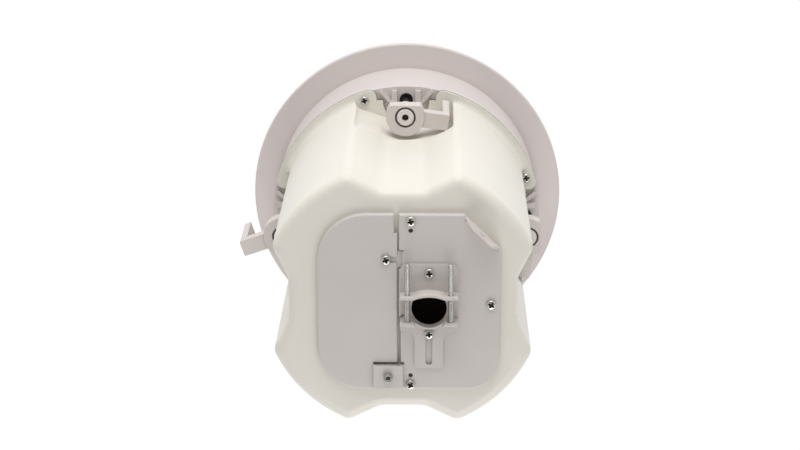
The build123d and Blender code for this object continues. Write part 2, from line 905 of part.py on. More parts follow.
def woofer_basket():
    """The loudspeaker's frame: flange, tapered basket with windows and two glue landings."""
    front = deck_front - woofer_flange
    straight = deck_front + basket_straight
    inner = basket_radius - basket_wall
    rear_inner = basket_rear_radius - basket_wall
    landing = deck_front + landing_thickness
    spider_level = basket_back - spider_landing_depth
    frame = turned([
        (woofer_radius, front),
        (woofer_radius, deck_front),
        (basket_radius, deck_front),
        (basket_radius, straight),
        (basket_rear_radius, spider_level),
        (basket_rear_radius, basket_back),
        (magnet_hole_radius, basket_back),
        (magnet_hole_radius, basket_back - basket_wall),
        (rear_inner - landing_width, basket_back - basket_wall),
        (rear_inner - landing_width, spider_level),
        (rear_inner, spider_level),
        (inner, straight),
        (inner, landing),
        (inner - landing_width, landing),
        (inner - landing_width, deck_front),
        (inner, deck_front),
        (inner, front),
    ])
    opening = slab(
        magnet_hole_radius, basket_radius + basket_wall, -basket_window_half, basket_window_half,
        straight + basket_wall, spider_level - basket_wall,
    )
    for index in range(basket_windows):
        frame -= Rot(0, 0, (index + 0.5) * 360 / basket_windows) * opening
    for spot in GridLocations(woofer_screw_circle * sqrt(2), woofer_screw_circle * sqrt(2), 2, 2):
        frame -= spot * post(screw_radius + hole_clearance, front, deck_front)
    return frame


def top_plate():
    """The front plate of the magnet system."""
    return post(top_plate_radius, basket_back, top_plate_back) - post(plate_hole, basket_back, top_plate_back)


def magnet():
    """The ring magnet."""
    return post(magnet_radius, top_plate_back, magnet_back) - post(
        magnet_hole_radius, top_plate_back, magnet_back
    )


def yoke():
    """The back plate with its pole piece."""
    pole = post(pole_radius, basket_back, yoke_back)
    return pole + post(top_plate_radius, magnet_back, yoke_back)


def voice_coil():
    """The voice coil on its former."""
    low = basket_back - coil_overhang
    return post(coil_outer, low, low + coil_length) - post(coil_inner, low, low + coil_length)


def spider():
    """The corrugated centring spider between the former and the basket's rear landing."""
    level = basket_back - spider_landing_depth
    inner = coil_outer + seat_clearance
    outer = basket_rear_radius - basket_wall - seat_clearance
    flat = landing_width + seat_clearance
    step = (outer - flat - inner) / (2 * spider_waves)
    lower = [(inner, level - spider_thickness)]
    for index in range(1, 2 * spider_waves):
        drop = spider_wave_height if index % 2 else 0
        lower.append((inner + index * step, level - spider_thickness - drop))
    lower += [(outer - flat, level - spider_thickness), (outer, level - spider_thickness)]
    upper = [(r, z + spider_thickness) for r, z in reversed(lower)]
    return turned(lower + upper)


def cone():
    """The paper cone, glued to the former at its neck."""
    neck = coil_outer + seat_clearance
    low = basket_back - coil_overhang + cone_thickness
    rim = deck_front
    return turned([
        (neck, low + cone_neck),
        (neck, low),
        (cone_rim_radius - landing_width, rim),
        (cone_rim_radius, rim),
        (cone_rim_radius, rim + cone_thickness),
        (cone_rim_radius - landing_width + cone_thickness, rim + cone_thickness),
        (neck + cone_thickness, low + cone_neck),
    ])


def surround():
    """The half-roll surround between the cone's rim and the basket's front landing."""
    inner = cone_rim_radius - landing_width
    outer = basket_radius - basket_wall - seat_clearance
    foot = deck_front - surround_thickness
    start = cone_rim_radius + seat_clearance
    centre = start + surround_roll
    small = surround_roll - surround_thickness
    flat = Line((inner, deck_front), (start + surround_thickness, deck_front))
    under = ThreePointArc(
        (start + surround_thickness, deck_front), (centre, deck_front - small), (centre + small, deck_front)
    )
    seat = Polyline(
        (centre + small, deck_front), (outer, deck_front), (outer, foot), (centre + surround_roll, foot)
    )
    over = ThreePointArc(
        (centre + surround_roll, foot), (centre, foot - surround_roll), (start, foot)
    )
    back = Polyline((start, foot), (inner, foot), (inner, deck_front))
    profile = make_face([*flat.edges(), *under.edges(), *seat.edges(), *over.edges(), *back.edges()])
    return revolve(Plane.XZ * profile, Axis.Z)


def tweeter_housing():
    """The coaxial tweeter's cup and horn on a post that stands on the pole piece."""
    front = deck_front - woofer_flange
    back = front + tweeter_depth
    return turned([
        (0, basket_back),
        (tweeter_post_radius, basket_back),
        (tweeter_post_radius, back),
        (tweeter_radius - coil_wall, back),
        (tweeter_radius, back - coil_wall),
        (tweeter_radius, front),
        (dome_radius + seat_clearance, front + dome_seat),
        (0, front + dome_seat),
    ])


def tweeter_dome():
    """The tweeter's dome at the throat of its horn."""
    seat = deck_front - woofer_flange + dome_seat
    ball = (dome_radius**2 + dome_rise**2) / (2 * dome_rise)
    dome = Pos(0, 0, seat - dome_rise + ball) * Sphere(ball)
    return dome & post(dome_radius, seat - 2 * dome_rise, seat)


def woofer_screws():
    """The four screws of the loudspeaker's flange."""
    front = deck_front - woofer_flange
    screw = Rot(180, 0, 0) * pan_screw(screw_radius - seat_clearance, woofer_flange + deck_thickness)
    places = GridLocations(woofer_screw_circle * sqrt(2), woofer_screw_circle * sqrt(2), 2, 2)
    return Compound(children=[spot * Pos(0, 0, front) * screw for spot in places])


def selector_place():
    """The selector spindle's place on the deck."""
    return Rot(0, 0, selector_turn) * Pos(0, selector_circle, 0)


def tap_switch():
    """The rotary tap switch behind the deck."""
    body = Box(selector_body, selector_body, selector_body_height, align=MIN)
    body = fillet(body.edges().filter_by(Axis.Z), sheet)
    body = Pos(0, 0, deck_back) * body
    body -= post(spindle_radius + running_clearance, deck_back, deck_back + spindle_length + seat_clearance)
    return selector_place() * body


def tap_knob():
    """The slotted selector knob with its spindle, turned from behind the grille."""
    high = deck_front - knob_lift
    low = high - knob_height
    knob = post(knob_radius, low, high)
    knob = fillet(knob.edges().group_by(Axis.Z)[0], knob_slot_width / 2)
    knob += post(spindle_radius, high, deck_back + spindle_length)
    knob -= slab(
        -knob_slot_half, knob_slot_half, -knob_slot_width / 2, knob_slot_width / 2,
        low, low + knob_slot_depth,
    )
    return selector_place() * knob


def transformer_core():
    """The line transformer's laminated core with its mounting feet."""
    top = box_floor - foot_sheet
    low = top - core_width
    core = slab(-core_length / 2, core_length / 2, -core_stack / 2, core_stack / 2, low, top)
    gap = (core_length - 4 * core_leg) / 2
    for side in (-1, 1):
        middle = side * (core_leg + gap / 2)
        core -= slab(
            middle - gap / 2, middle + gap / 2, -core_stack, core_stack,
            low + core_leg, top - core_leg,
        )
    half = core_length / 2 + foot_tab
    core += slab(-half, half, -core_stack / 2, core_stack / 2, top, box_floor)
    return Pos(0, core_y + entry_y, 0) * core


def transformer_winding():
    """The winding on the core's middle leg."""
    top = box_floor - foot_sheet - core_leg - winding_gap
    low = box_floor - foot_sheet - core_width + core_leg + winding_gap
    gap = (core_length - 4 * core_leg) / 2
    wide = core_leg + gap - winding_gap
    deep = core_stack / 2 + gap - winding_gap
    coil = slab(-wide, wide, -deep, deep, low, top)
    coil = fillet(coil.edges().filter_by(Axis.Z), core_leg / 2)
    hole = core_leg + winding_gap
    coil -= slab(-hole, hole, -core_stack / 2 - winding_gap, core_stack / 2 + winding_gap, low, top)
    return Pos(0, core_y + entry_y, 0) * coil


def board_face():
    """The level of the crossover board's lower face, which carries its components."""
    return box_floor - standoff_height - board_thickness


def crossover_board():
    """The crossover board hung on four standoffs under the wiring box."""
    low = board_face()
    top = low + board_thickness
    board = slab(-board_length / 2, board_length / 2, -board_width / 2, board_width / 2, low, top)
    across = board_length - 2 * standoff_inset
    along = board_width - 2 * standoff_inset
    for spot in GridLocations(across, along, 2, 2):
        board += spot * post(standoff_radius, top, box_floor)
    return Pos(0, board_y + entry_y, 0) * board


def crossover_choke():
    """The crossover's air-cored choke."""
    top = board_face()
    ring = post(choke_radius, top - choke_height, top) - post(choke_hole_radius, top - choke_height, top)
    return Pos(-choke_offset, board_y + entry_y, 0) * ring


def crossover_capacitor():
    """The crossover's film capacitor, lying on the board."""
    level = board_face() - capacitor_radius
    can = Pos(capacitor_offset, board_y + entry_y, level) * Rot(90, 0, 0) * Cylinder(
        capacitor_radius, capacitor_length
    )
    return fillet(can.edges(), sheet)


def damping_pad():
    """The soft pad that fills the can's middle, held between the flutes."""
    top = pad_low + pad_height
    return post(flute_floor - can_wall - pad_gap, pad_low, top)


def front_grille():
    """The perforated grille with its turned-in skirt."""
    face = -bezel_crown + grille_recess
    rim = grille_seat_radius - seat_clearance
    shell = post(rim, face, -grille_step) - post(rim - grille_sheet, face + grille_sheet, -grille_step)
    shell = fillet(shell.edges().group_by(Axis.Z)[0], grille_sheet)
    reach = rim - perforation_margin
    rows = ceil(2 * reach / perforation_pitch) + 1
    cells = HexLocations(perforation_pitch / sqrt(3), rows, rows)
    inside = [cell for cell in cells if cell.position.length + perforation_radius < reach]
    holes = [cell * RegularPolygon(perforation_radius, 6) for cell in inside]
    cutter = extrude(Sketch(children=holes), grille_sheet)
    return shell - Pos(0, 0, face) * cutter


can = back_can()
nodes = {
    "baffle": baffle(),
    "front_grille": front_grille(),
    "back_can": can,
    "can_gasket": can_gasket(can),
    "can_screws": can_screws(),
    "terminal_cover": terminal_cover(),
    "bridge_nut": bridge_nut(),
    "terminal_plate": terminal_plate(),
    "plate_screws": plate_screws(),
    "cover_screw": cover_screw(),
    "upper_jaw": upper_jaw(),
    "lower_jaw": lower_jaw(),
    "jaw_rod_left": jaw_rod(-1),
    "jaw_rod_right": jaw_rod(1),
    "upper_jaw_screw": upper_jaw_screw(),
    "lower_jaw_screw": lower_jaw_screw(),
    "terminal_box": terminal_box(),
    "terminal_block": terminal_block(),
    "woofer_basket": woofer_basket(),
    "top_plate": top_plate(),
    "magnet": magnet(),
    "yoke": yoke(),
    "voice_coil": voice_coil(),
    "spider": spider(),
    "cone": cone(),
    "surround": surround(),
    "tweeter_housing": tweeter_housing(),
    "tweeter_dome": tweeter_dome(),
    "woofer_screws": woofer_screws(),
    "tap_switch": tap_switch(),
    "tap_knob": tap_knob(),
    "transformer_core": transformer_core(),
    "transformer_winding": transformer_winding(),
    "crossover_board": crossover_board(),
    "crossover_choke": crossover_choke(),
    "crossover_capacitor": crossover_capacitor(),
    "damping_pad": damping_pad(),
}
for name in clamp_turns:
    nodes["clamp_arm_" + name] = clamp_place(name) * Rot(0, 0, resting_swing[name]) * clamp_arm()
    nodes["clamp_bush_" + name] = clamp_place(name) * clamp_bush()
    nodes["clamp_screw_" + name] = clamp_place(name) * clamp_screw()
    nodes["clamp_clip_" + name] = clamp_place(name) * clamp_clip()

os.makedirs("parts", exist_ok=True)
for name, shape in nodes.items():
    export_step(shape, os.path.join("parts", name + ".step"))
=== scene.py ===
import json
from math import ceil, cos, hypot, pi, radians, sin, sqrt, tau

import bmesh
import bpy
import numpy as np
from mathutils import Matrix, Vector, noise


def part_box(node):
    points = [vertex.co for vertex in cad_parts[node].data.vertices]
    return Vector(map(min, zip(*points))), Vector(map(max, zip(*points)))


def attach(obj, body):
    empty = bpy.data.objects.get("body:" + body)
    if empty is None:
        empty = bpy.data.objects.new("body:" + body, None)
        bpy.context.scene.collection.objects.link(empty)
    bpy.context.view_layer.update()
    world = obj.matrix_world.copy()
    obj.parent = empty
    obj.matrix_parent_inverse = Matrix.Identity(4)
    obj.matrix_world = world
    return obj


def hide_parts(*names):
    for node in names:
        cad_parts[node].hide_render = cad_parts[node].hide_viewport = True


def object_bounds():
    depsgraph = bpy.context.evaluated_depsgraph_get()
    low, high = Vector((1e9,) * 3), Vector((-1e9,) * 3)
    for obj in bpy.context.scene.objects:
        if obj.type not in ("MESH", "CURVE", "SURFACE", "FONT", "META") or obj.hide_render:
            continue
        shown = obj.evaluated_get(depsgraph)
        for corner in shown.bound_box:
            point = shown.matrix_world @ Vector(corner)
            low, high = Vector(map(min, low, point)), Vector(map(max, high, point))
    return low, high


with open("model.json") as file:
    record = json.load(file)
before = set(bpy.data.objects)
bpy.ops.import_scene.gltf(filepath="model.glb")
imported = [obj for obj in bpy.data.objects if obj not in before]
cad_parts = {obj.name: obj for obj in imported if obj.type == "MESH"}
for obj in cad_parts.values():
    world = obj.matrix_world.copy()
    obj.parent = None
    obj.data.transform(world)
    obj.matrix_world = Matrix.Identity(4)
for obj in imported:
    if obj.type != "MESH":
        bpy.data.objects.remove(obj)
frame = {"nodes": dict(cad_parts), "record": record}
cad_low, cad_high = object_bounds()
nodes = frame["nodes"]
MM = 0.001
CLAMPS = ("top", "left", "bottom", "right")
FLAT_SCREWS = ("can_screws", "plate_screws", "cover_screw", "upper_jaw_screw", "lower_jaw_screw")
CHASSIS = "chassis"

# The photograph's camera, in millimetres and degrees
CAMERA_DEPTH = 1750.0
CAMERA_TILT = 17.2
CAMERA_YAW = 0.85
CAMERA_RIGHT = -5.8
CAMERA_UP = -26.3
CAMERA_LENS = 95.8
SENSOR_WIDTH = 36.0

# Lamps, in metres and watts
KEY_PLACE = (0.0, 1.2, 0.45)
KEY_TARGET = (0.0, 0.0, 0.15)
KEY_SIZE = 0.9
KEY_POWER = 8.0
FILL_PLACE = (0.1, -0.9, 0.9)
FILL_TARGET = (0.0, -0.1, 0.2)
FILL_SIZE = 0.8
FILL_POWER = 5.0
HORIZON_LIGHT = 1.2
ZENITH_LIGHT = 0.33

# Floor, in metres and shares of white
FLOOR_REACH = 6.0
FLOOR_BOUNCE = 0.8
FLOOR_GLOW = 0.9
FLOOR_SHADED = 0.16

# Finishes, in millimetres and noise units
# Painted shade: reach and samples of the ambient occlusion that darkens colours in corners
SHADE_REACH = 5.0
SHADE_SAMPLES = 8
EDGE_SAMPLES = 4
GLOSS_SPREAD = 0.06
CLOUD_DETAIL = 3.0
SPECK_DETAIL = 2.0
WAVE_SCALE = 26.0
WAVE_DETAIL = 1.0

# Meshes, in millimetres and degrees
WELD = 0.01
SHARP_ANGLE = 35.0

# Screws, in millimetres and degrees
AROUND = 48
HEAD_RADIUS = 3.5
HEAD_RINGS = 26
HEAD_TALL = 2.4
HEAD_CROWN = 0.9
HEAD_EDGE = 0.7
RECESS_REACH = 2.35
RECESS_HALF = 0.85
RECESS_TAPER = 0.35
RECESS_EDGE = 0.35
RECESS_DEPTH = 1.7
RECESS_RISE = 0.5
# Recess faces deeper than this take a dark material, painted shade in the recess
RECESS_SHADE_DEPTH = 0.4
RECESS_TURN = 137.5
THREAD_STEPS = 6
SHANK_SHARE = 0.56
ROD_SHARE = 0.57
ROD_PITCH = 0.7
ROD_THREAD = 0.38
CLAMP_SHARE = 0.48
CLAMP_PITCH = 2.2
CLAMP_THREAD = 0.55

# Front grille, in millimetres
GRILLE_PITCH = 5.0
GRILLE_HOLE = 1.75
GRILLE_MARGIN = 8.0
GRILLE_SHEET = 1.0
GRILLE_SIDES = 12
GRILLE_WELD = 0.02
SKIRT_EDGE_IN = 0.3
SKIRT_EDGE_UP = 0.4

# Soft pad, in millimetres
PAD_RINGS = 24
PAD_ROUND = 10.0
PAD_LUMPS = 2.5
PAD_LUMP_SIZE = 15.0
PAD_EVEN = 1.25


def linear(red, green, blue):
    """A colour written as it shows on screen, 0 to 255, in Blender's linear values."""
    def channel(value):
        share = value / 255
        return share / 12.92 if share <= 0.04045 else ((share + 0.055) / 1.055) ** 2.4
    return channel(red), channel(green), channel(blue), 1.0


def noise_field(tree, where, scale, detail):
    """A soft noise over the object's own coordinates."""
    field = tree.nodes.new("ShaderNodeTexNoise")
    field.inputs["Scale"].default_value = scale
    field.inputs["Detail"].default_value = detail
    tree.links.new(where.outputs["Object"], field.inputs["Vector"])
    return field.outputs["Fac"]


def stretched(tree, value, low, high):
    """A value from 0 to 1 stretched between two ends."""
    stretch = tree.nodes.new("ShaderNodeMapRange")
    stretch.inputs["To Min"].default_value = low
    stretch.inputs["To Max"].default_value = high
    tree.links.new(value, stretch.inputs["Value"])
    return stretch.outputs["Result"]


def bumped(tree, height, depth, normal):
    """A surface direction tilted by a height field, its depth in millimetres."""
    bump = tree.nodes.new("ShaderNodeBump")
    bump.inputs["Distance"].default_value = depth * MM
    tree.links.new(height, bump.inputs["Height"])
    tree.links.new(normal, bump.inputs["Normal"])
    return bump.outputs["Normal"]


def tint_with_painted_shade(tree, where, dark, light, patch, corner_shade):
    """A colour that drifts between two tints, darkened in corners by painted shade from ambient occlusion.
    """
    tint = tree.nodes.new("ShaderNodeMix")
    tint.data_type = "RGBA"
    tint.inputs["A"].default_value = dark
    tint.inputs["B"].default_value = light
    tree.links.new(noise_field(tree, where, patch, CLOUD_DETAIL), tint.inputs["Factor"])
    # Painted shade: ambient occlusion darkens the colour in corners and creases
    corners = tree.nodes.new("ShaderNodeAmbientOcclusion")
    corners.samples = SHADE_SAMPLES
    corners.inputs["Distance"].default_value = SHADE_REACH * MM
    shaded_tint = tree.nodes.new("ShaderNodeVectorMath")
    shaded_tint.operation = "SCALE"
    tree.links.new(tint.outputs["Result"], shaded_tint.inputs[0])
    tree.links.new(stretched(tree, corners.outputs["AO"], 1.0 - corner_shade, 1.0), shaded_tint.inputs["Scale"])
    return shaded_tint.outputs["Vector"]


def surface(name, dark, light, roughness, patch=30.0, grain=900.0, relief=0.02, wave=0.0, edge=0.5,
            corner_shade=0.15, metallic=0.0):
    """A finish that drifts between two colours, with grain, sheet waves, soft edges and painted shade in
    corners.
    """
    material = bpy.data.materials.new(name)
    material.use_nodes = True
    tree = material.node_tree
    shader = tree.nodes["Principled BSDF"]
    shader.inputs["Metallic"].default_value = metallic
    where = tree.nodes.new("ShaderNodeTexCoord")
    tree.links.new(tint_with_painted_shade(tree, where, dark, light, patch, corner_shade), shader.inputs["Base Color"])
    speck = noise_field(tree, where, grain, SPECK_DETAIL)
    gloss = stretched(tree, speck, roughness - GLOSS_SPREAD, roughness + GLOSS_SPREAD)
    tree.links.new(gloss, shader.inputs["Roughness"])
    rounded = tree.nodes.new("ShaderNodeBevel")
    rounded.samples = EDGE_SAMPLES
    rounded.inputs["Radius"].default_value = edge * MM
    normal = bumped(tree, speck, relief, rounded.outputs["Normal"])
    if wave:
        normal = bumped(tree, noise_field(tree, where, WAVE_SCALE, WAVE_DETAIL), wave, normal)
    tree.links.new(normal, shader.inputs["Normal"])
    return material


finishes = {
    "bezel_plastic": surface("bezel_plastic", linear(218, 209, 206), linear(224, 215, 212), 0.5, edge=0.8),
    "can_paint": surface(
        "can_paint", linear(231, 226, 214), linear(237, 233, 224), 0.36, grain=500.0, wave=0.25, edge=1.2
    ),
    "cover_paint": surface("cover_paint", linear(208, 201, 196), linear(215, 208, 204), 0.42, wave=0.7),
    "clamp_plastic": surface("clamp_plastic", linear(212, 204, 200), linear(219, 211, 207), 0.45, edge=0.8),
    "bush_plastic": surface("bush_plastic", linear(222, 215, 210), linear(229, 222, 218), 0.45, edge=0.6),
    # The zinc gets a stronger painted shade in its corners
    "bright_zinc": surface(
        "bright_zinc", linear(206, 204, 200), linear(228, 226, 222), 0.2, metallic=1.0, corner_shade=0.5
    ),
    "black_steel": surface("black_steel", linear(22, 21, 20), linear(34, 32, 31), 0.35, metallic=0.4),
    "gasket_rubber": surface("gasket_rubber", linear(40, 40, 40), linear(52, 51, 50), 0.85, relief=0.15),
    "grille_paint": surface("grille_paint", linear(226, 223, 219), linear(233, 230, 226), 0.45, edge=0.2),
    "box_zinc": surface("box_zinc", linear(74, 62, 46), linear(92, 78, 60), 0.6, metallic=0.3),
    "terminal_plastic": surface("terminal_plastic", linear(30, 30, 30), linear(40, 40, 40), 0.5),
    "basket_steel": surface("basket_steel", linear(24, 24, 24), linear(32, 32, 32), 0.45),
    "plate_steel": surface("plate_steel", linear(150, 150, 152), linear(172, 172, 174), 0.35, metallic=1.0),
    "ferrite": surface("ferrite", linear(40, 40, 42), linear(54, 54, 56), 0.7, relief=0.1),
    "copper_winding": surface(
        "copper_winding", linear(160, 90, 44), linear(196, 118, 62), 0.35, metallic=0.8
    ),
    "spider_cloth": surface("spider_cloth", linear(168, 130, 70), linear(190, 150, 88), 0.9, relief=0.2),
    "cone_paper": surface("cone_paper", linear(24, 24, 24), linear(38, 37, 36), 0.85, relief=0.15),
    "surround_rubber": surface("surround_rubber", linear(20, 20, 20), linear(28, 28, 28), 0.6),
    "tweeter_plastic": surface("tweeter_plastic", linear(26, 26, 26), linear(36, 36, 36), 0.5),
    "dome_silk": surface("dome_silk", linear(30, 30, 32), linear(44, 44, 48), 0.6, relief=0.1),
    "knob_plastic": surface("knob_plastic", linear(44, 44, 44), linear(56, 56, 56), 0.5),
    "lamination": surface("lamination", linear(84, 82, 80), linear(110, 108, 104), 0.5, metallic=0.6),
    "board_laminate": surface("board_laminate", linear(30, 84, 48), linear(40, 100, 60), 0.45),
    "capacitor_film": surface("capacitor_film", linear(170, 130, 44), linear(190, 150, 60), 0.4),
    "pad_fibre": surface(
        "pad_fibre", linear(206, 205, 200), linear(226, 225, 220), 0.95, grain=400.0, relief=0.6
    ),
}
# Painted shade: a dark material for the deep faces of the screws' cross recesses
recess_painted_shade = surface("recess_painted_shade", linear(38, 34, 30), linear(62, 56, 50), 0.4, metallic=0.6)


def dress_nodes():
    """Gives each CAD node the finish of its own slot."""
    for row in frame["record"]["subparts"]:
        mesh = nodes[row["node"]].data
        mesh.materials.clear()
        mesh.materials.append(finishes[row["material_slot"]])


def add_piece(name, built, slot, body, *replaced):
    """Puts a built mesh into the scene as a piece that rides on a body and stands for CAD nodes."""
    mesh = bpy.data.meshes.new(name)
    bmesh.ops.recalc_face_normals(built, faces=built.faces)
    for face in built.faces:
        face.smooth = True
    for edge in built.edges:
        edge.smooth = len(edge.link_faces) == 2 and edge.calc_face_angle() < radians(SHARP_ANGLE)
    built.to_mesh(mesh)
    built.free()
    piece = bpy.data.objects.new(name, mesh)
    bpy.context.scene.collection.objects.link(piece)
    mesh.materials.append(finishes[slot])
    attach(piece, body)
    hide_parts(*replaced)
    return piece


def islands(node):
    """The lowest and highest corners of each separate solid in a node."""
    built = bmesh.new()
    built.from_mesh(nodes[node].data)
    bmesh.ops.remove_doubles(built, verts=built.verts, dist=WELD * MM)
    waiting = set(built.verts)
    boxes = []
    while waiting:
        reached = [waiting.pop()]
        spots = []
        while reached:
            vert = reached.pop()
            spots.append(vert.co.copy())
            others = [edge.other_vert(vert) for edge in vert.link_edges]
            fresh = [other for other in others if other in waiting]
            waiting.difference_update(fresh)
            reached += fresh
        corners = np.array(spots)
        boxes.append((Vector(corners.min(axis=0)), Vector(corners.max(axis=0))))
    built.free()
    return sorted(boxes, key=lambda box: (round(box[0].x, 4), round(box[0].y, 4)))


def ease(value):
    """A smooth step from 0 to 1."""
    share = min(max(value, 0.0), 1.0)
    return share * share * (3.0 - 2.0 * share)


def recess_depth(x, y, radius, turn):
    """How deep the cross recess is at a point of a turned screw head."""
    scale = HEAD_RADIUS / radius
    across_x = (x * cos(turn) - y * sin(turn)) * scale
    across_y = (x * sin(turn) + y * cos(turn)) * scale
    along = max(abs(across_x), abs(across_y))
    across = min(abs(across_x), abs(across_y))
    half = RECESS_HALF * (1.0 - RECESS_TAPER * along / RECESS_REACH)
    side = ease((half - across) / RECESS_EDGE + 0.5)
    end = ease((RECESS_REACH - along) / RECESS_EDGE)
    return RECESS_DEPTH * side * end * (1.0 - RECESS_RISE * along / RECESS_REACH)


def ring_row(radius, level):
    """A plain ring of points."""
    angles = [tau * step / AROUND for step in range(AROUND)]
    return [Vector((radius * cos(angle), radius * sin(angle), level)) for angle in angles]


def head_rows(radius, turn):
    """Rings of points over a domed head, from its middle out and down to its seat."""
    rows = []
    for ring in range(1, HEAD_RINGS + 1):
        share = ring / HEAD_RINGS
        rim = max(0.0, radius * share - (radius - HEAD_EDGE))
        fall = HEAD_EDGE - sqrt(max(0.0, HEAD_EDGE**2 - rim**2))
        row = ring_row(radius * share, HEAD_TALL - HEAD_CROWN * share**2 - fall)
        for spot in row:
            spot.z -= recess_depth(spot.x, spot.y, radius, turn)
        rows.append(row)
    rows.append(ring_row(radius, 0.0))
    return rows


def thread_rows(radius, length, pitch, depth):
    """Rings of points down a threaded shank."""
    count = ceil(length / pitch * THREAD_STEPS)
    rows = [ring_row(radius - depth, 0.0)]
    for index in range(1, count):
        level = -length * index / count
        run_out = depth * ease((length + level) / pitch)
        row = []
        for step in range(AROUND):
            phase = -level / pitch + step / AROUND
            groove = abs(2.0 * (phase % 1.0) - 1.0)
            reach = radius - depth + run_out * groove
            angle = tau * step / AROUND
            row.append(Vector((reach * cos(angle), reach * sin(angle), level)))
        rows.append(row)
    rows.append(ring_row(radius - depth, -length))
    return rows


def add_turned(built, place, rows, top, tip):
    """A closed skin over rings of points, from a top point to a tip, put in its place. Returns its faces."""
    first = built.verts.new(place @ top)
    last = built.verts.new(place @ tip)
    rings = [[built.verts.new(place @ spot) for spot in row] for row in rows]
    faces = []
    for step in range(AROUND):
        after = (step + 1) % AROUND
        faces.append(built.faces.new((first, rings[0][step], rings[0][after])))
        for upper, lower in zip(rings, rings[1:]):
            faces.append(built.faces.new((upper[step], lower[step], lower[after], upper[after])))
        faces.append(built.faces.new((last, rings[-1][after], rings[-1][step])))
    return faces


def add_screw(built, place, radius, turn, shank):
    """A domed cross-recess screw, its seat at the place's origin and its head along the place's Z."""
    rows = [[spot * MM for spot in row] for row in head_rows(radius, turn) + shank]
    top = Vector((0, 0, HEAD_TALL - recess_depth(0.0, 0.0, radius, turn))) * MM
    tip = Vector((0, 0, shank[-1][0].z)) * MM
    back = place.inverted()
    for face in add_turned(built, place, rows, top, tip):
        spot = back @ face.calc_center_median() / MM
        # Deep recess faces take the painted-shade material
        if spot.z > 0 and recess_depth(spot.x, spot.y, radius, turn) > RECESS_SHADE_DEPTH:
            face.material_index = 1


def flat_screws(node):
    """Domed screws in place of a node's plain ones, all with their heads towards the ceiling void."""
    built = bmesh.new()
    for index, (low, high) in enumerate(islands(node)):
        radius = (high.x - low.x) / 2 / MM
        seat = high.z - HEAD_TALL * MM
        place = Matrix.Translation(((low.x + high.x) / 2, (low.y + high.y) / 2, seat))
        length = (seat - low.z) / MM
        shank = thread_rows(SHANK_SHARE * radius, length, ROD_PITCH, ROD_THREAD)
        add_screw(built, place, radius, radians(RECESS_TURN * (index + len(node))), shank)
    piece = add_piece("dressed_" + node, built, "bright_zinc", CHASSIS, node)
    piece.data.materials.append(recess_painted_shade)


def long_screw(node, body, place, slot, head, shank):
    """A long threaded screw in place of a plain one."""
    built = bmesh.new()
    add_screw(built, place, head, radians(RECESS_TURN * len(node)), shank)
    piece = add_piece("threaded_" + node, built, slot, body, node)
    piece.data.materials.append(recess_painted_shade)


def jaw_rods():
    """The cable clamp's two rods, headed at the sliding jaw."""
    for side in ("left", "right"):
        node = "jaw_rod_" + side
        low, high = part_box(node)
        middle = (low + high) / 2
        head = (high.x - low.x) / 2 / MM
        seat = low.y + HEAD_TALL * MM
        place = Matrix.Translation((middle.x, seat, middle.z)) @ Matrix.Rotation(pi / 2, 4, "X")
        shank = thread_rows(ROD_SHARE * head, (high.y - seat) / MM, ROD_PITCH, ROD_THREAD)
        long_screw(node, node, place, "bright_zinc", head, shank)


def clamp_screws():
    """The four long clamp screws, headed on the room side."""
    for name in CLAMPS:
        node = "clamp_screw_" + name
        low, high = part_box(node)
        middle = (low + high) / 2
        head = (high.x - low.x) / 2 / MM
        seat = low.z + HEAD_TALL * MM
        place = Matrix.Translation((middle.x, middle.y, seat)) @ Matrix.Rotation(pi, 4, "X")
        shank = thread_rows(CLAMP_SHARE * head, (high.z - seat) / MM, CLAMP_PITCH, CLAMP_THREAD)
        long_screw(node, "screw_" + name, place, "black_steel", head, shank)


def hex_cells(reach):
    """Centres of a hexagonal pattern that covers a disc."""
    down = GRILLE_PITCH * sqrt(3) / 2
    rows = ceil(reach / down) + 1
    columns = ceil(reach / GRILLE_PITCH) + 1
    for row in range(-rows, rows + 1):
        for column in range(-columns, columns + 1):
            yield (column + (row % 2) / 2) * GRILLE_PITCH, row * down


def cell_angles():
    """Directions of a cell's corners and side middles."""
    return [tau * step / GRILLE_SIDES + pi / 6 for step in range(GRILLE_SIDES)]


def cell_outline(x, y, limit):
    """A hexagonal cell's corners and side middles, drawn in to the grille's rim."""
    spots = []
    for step, angle in enumerate(cell_angles()):
        reach = GRILLE_PITCH / sqrt(3) if step % 2 == 0 else GRILLE_PITCH / 2
        spot = Vector((x + reach * cos(angle), y + reach * sin(angle)))
        spots.append(spot if spot.length < limit else spot * (limit / spot.length))
    return spots


def add_level(built, spots, level):
    """A loop of points at one level, in millimetres."""
    return [built.verts.new(Vector((spot.x, spot.y, level)) * MM) for spot in spots]


def add_band(built, first, second):
    """Faces between two loops of points."""
    for step in range(len(first)):
        after = (step + 1) % len(first)
        built.faces.new((first[step], first[after], second[after], second[step]))


def add_cell(built, x, y, limit, levels, pierced):
    """One cell of the grille's sheet, plain or with its round hole."""
    outline = cell_outline(x, y, limit)
    circle = [Vector((x + GRILLE_HOLE * cos(a), y + GRILLE_HOLE * sin(a))) for a in cell_angles()]
    holes = []
    for level in levels:
        outer = add_level(built, outline, level)
        if pierced:
            holes.append(add_level(built, circle, level))
            add_band(built, outer, holes[-1])
        else:
            built.faces.new(outer)
    if pierced:
        add_band(built, *holes)


def add_ring(built, profile):
    """A closed ring turned from a (radius, level) outline about the speaker's axis."""
    segments = 3 * AROUND
    turns = []
    for step in range(segments):
        angle = tau * step / segments
        turns.append([built.verts.new(Vector((r * cos(angle), r * sin(angle), z)) * MM) for r, z in profile])
    for here, there in zip(turns, turns[1:] + turns[:1]):
        add_band(built, here, there)


